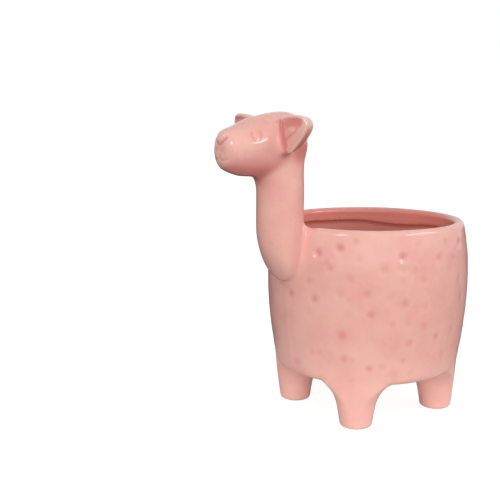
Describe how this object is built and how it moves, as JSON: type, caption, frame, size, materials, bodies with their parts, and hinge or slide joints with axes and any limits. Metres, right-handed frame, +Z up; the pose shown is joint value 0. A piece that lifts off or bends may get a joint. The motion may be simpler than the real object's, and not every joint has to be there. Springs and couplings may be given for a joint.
{
  "type": "llama planter",
  "caption": "Glazed ceramic planter: a round pot on stub legs, with the neck and head of a llama rising from its front rim.",
  "frame": {"origin": "on the table, below the middle of the whole planter's bounding box", "axes": "+Z up along the planter's height, -Y the way the llama looks, +X towards the llama's left side"},
  "size_m": [0.114, 0.1554, 0.1701],
  "materials": {
    "pink_glaze": "glossy"
  },
  "bodies": {
    "root": {"pot": "pink_glaze", "neck": "pink_glaze", "head": "pink_glaze", "ear_left": "pink_glaze", "ear_right": "pink_glaze", "leg_front_left": "pink_glaze", "leg_front_right": "pink_glaze", "leg_rear_left": "pink_glaze", "leg_rear_right": "pink_glaze"}
  },
  "joints": []
}
